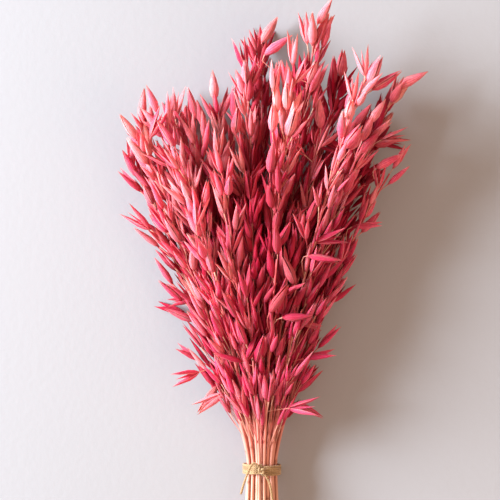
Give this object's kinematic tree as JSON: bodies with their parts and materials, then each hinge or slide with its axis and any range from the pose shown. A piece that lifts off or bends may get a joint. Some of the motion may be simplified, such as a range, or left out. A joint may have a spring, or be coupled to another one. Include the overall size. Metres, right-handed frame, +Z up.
{
  "type": "dried oats bundle",
  "caption": "Fan-shaped bundle of dyed, dried oat stalks with papery spikelets, tied near the cut ends with twine and lying on its side.",
  "frame": {"origin": "on the surface, under the middle of the whole lying bundle", "axes": "+Y along the bundle from the cut ends to the panicles, +Z up from the surface it lies on, +X across the fan"},
  "size_m": [0.25, 0.4818, 0.0992],
  "materials": {
    "dyed_oats": "matt, papery, dyed coral pink",
    "jute_twine": "natural jute twine"
  },
  "bodies": {
    "root": {"oat_stalk_01": "dyed_oats", "oat_stalk_02": "dyed_oats", "oat_stalk_03": "dyed_oats", "oat_stalk_04": "dyed_oats", "oat_stalk_05": "dyed_oats", "oat_stalk_06": "dyed_oats", "oat_stalk_07": "dyed_oats", "oat_stalk_08": "dyed_oats", "oat_stalk_09": "dyed_oats", "oat_stalk_10": "dyed_oats", "oat_stalk_11": "dyed_oats", "oat_stalk_12": "dyed_oats", "oat_stalk_13": "dyed_oats", "oat_stalk_14": "dyed_oats", "oat_stalk_15": "dyed_oats", "oat_stalk_16": "dyed_oats", "oat_stalk_17": "dyed_oats", "oat_stalk_18": "dyed_oats", "oat_stalk_19": "dyed_oats", "oat_stalk_20": "dyed_oats", "oat_stalk_21": "dyed_oats", "oat_stalk_22": "dyed_oats", "oat_stalk_23": "dyed_oats", "oat_stalk_24": "dyed_oats", "oat_stalk_25": "dyed_oats", "oat_stalk_26": "dyed_oats", "oat_stalk_27": "dyed_oats", "oat_stalk_28": "dyed_oats", "oat_stalk_29": "dyed_oats", "oat_stalk_30": "dyed_oats", "oat_stalk_31": "dyed_oats", "oat_stalk_32": "dyed_oats", "oat_stalk_33": "dyed_oats", "oat_stalk_34": "dyed_oats", "oat_stalk_35": "dyed_oats", "oat_stalk_36": "dyed_oats", "oat_stalk_37": "dyed_oats", "oat_stalk_38": "dyed_oats", "oat_stalk_39": "dyed_oats", "oat_stalk_40": "dyed_oats", "oat_stalk_41": "dyed_oats", "oat_stalk_42": "dyed_oats", "oat_stalk_43": "dyed_oats", "oat_stalk_44": "dyed_oats", "twine_tie": "jute_twine"}
  },
  "joints": []
}
